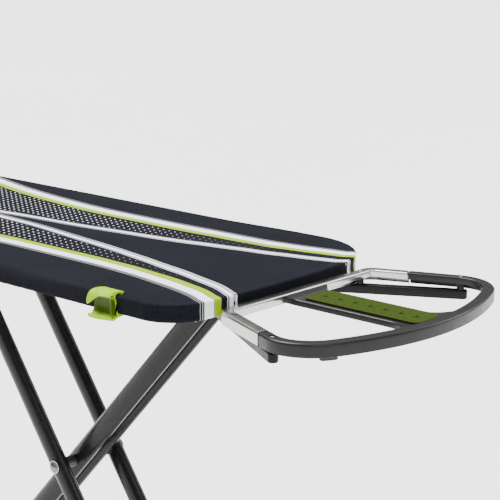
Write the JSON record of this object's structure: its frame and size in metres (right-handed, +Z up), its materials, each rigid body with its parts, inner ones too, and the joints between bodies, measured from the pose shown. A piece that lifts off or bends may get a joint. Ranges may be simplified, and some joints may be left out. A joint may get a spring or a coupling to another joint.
{
  "type": "ironing board",
  "caption": "Folding ironing board with crossed tube legs, padded printed cover, swing-down leg frame, height release lever, iron rest and cord clip.",
  "frame": {"origin": "on the floor, under the middle of the whole object as it stands open", "axes": "+Z up, +X along the board to the square tail with the iron rest, -X to the pointed nose, -Y to the side with the cord clip"},
  "size_m": [1.432, 0.412, 0.904],
  "materials": {
    "cover_fabric": "woven cotton, matt, printed",
    "felt": "needled felt",
    "leg_paint": "satin charcoal powder coat",
    "zinc_steel": "zinc plated",
    "bright_steel": "bright satin",
    "rest_tray_grey": "satin dark grey moulding",
    "dark_plastic": "satin",
    "foot_rubber": "matt",
    "lime_plastic": "satin lime green",
    "lime_silicone": "matt silicone"
  },
  "bodies": {
    "board": {"cover": "cover_fabric", "pad": "felt", "steel_top": "zinc_steel", "rim": "zinc_steel", "brace_rest": "zinc_steel", "brace_hinge": "zinc_steel", "brace_middle": "zinc_steel", "brace_nose": "zinc_steel", "slide_rail_near": "zinc_steel", "slide_rail_far": "zinc_steel", "rail_guide_near": "zinc_steel", "rail_guide_far": "zinc_steel", "hinge_bracket": "zinc_steel", "hinge_pin": "zinc_steel", "shaft_bearing_near": "dark_plastic", "shaft_bearing_far": "dark_plastic", "lever_spring": "bright_steel", "rest_carrier": "bright_steel", "rest_tray": "rest_tray_grey", "rest_silicone_pad": "lime_silicone", "rest_strut_near": "leg_paint", "rest_strut_far": "leg_paint", "rest_lug_near": "foot_rubber", "rest_lug_far": "foot_rubber", "rest_screw_near_1": "zinc_steel", "rest_screw_near_2": "zinc_steel", "rest_screw_far_1": "zinc_steel", "rest_screw_far_2": "zinc_steel", "cord_clip": "lime_plastic"},
    "inner_frame": {"inner_leg_near": "leg_paint", "inner_leg_far": "leg_paint", "inner_leg_plug_near": "dark_plastic", "inner_leg_plug_far": "dark_plastic", "inner_foot_bar": "leg_paint", "inner_foot_cap_near": "foot_rubber", "inner_foot_cap_far": "foot_rubber", "hinge_sleeve": "zinc_steel", "pivot_sleeve_middle": "zinc_steel", "pivot_sleeve_near": "dark_plastic", "pivot_sleeve_far": "dark_plastic", "pivot_axle": "zinc_steel"},
    "outer_frame": {"outer_leg_near": "leg_paint", "outer_leg_far": "leg_paint", "outer_leg_plug_near": "dark_plastic", "outer_leg_plug_far": "dark_plastic", "outer_foot_bar": "leg_paint", "outer_foot_cap_near": "foot_rubber", "outer_foot_cap_far": "foot_rubber", "catch_bar": "zinc_steel", "slide_shoe_near": "dark_plastic", "slide_shoe_far": "dark_plastic", "pivot_washer_near": "zinc_steel", "pivot_washer_far": "zinc_steel"},
    "release_lever": {"release_lever": "zinc_steel", "lever_grip": "lime_plastic", "height_rack_near": "zinc_steel", "height_rack_far": "zinc_steel"}
  },
  "joints": [
    {"name": "fold", "type": "hinge", "parent": "board", "child": "inner_frame", "pos_m": [0.388, 0, 0.858], "axis": [0, 1, 0], "range_deg": [0, 44.5]},
    {"name": "outer_fold", "type": "hinge", "parent": "inner_frame", "child": "outer_frame", "pos_m": [0.1434, 0, 0.592], "axis": [0, 1, 0], "range_deg": [-96.1, 0]},
    {"name": "release", "type": "hinge", "parent": "board", "child": "release_lever", "pos_m": [0.174, 0, 0.867], "axis": [0, -1, 0], "range_deg": [0, 7], "stiffness_Nm_per_rad": 4}
  ],
  "couplings": [
    {"joint": "outer_fold", "follows": "fold", "ratio": -2.1591}
  ]
}
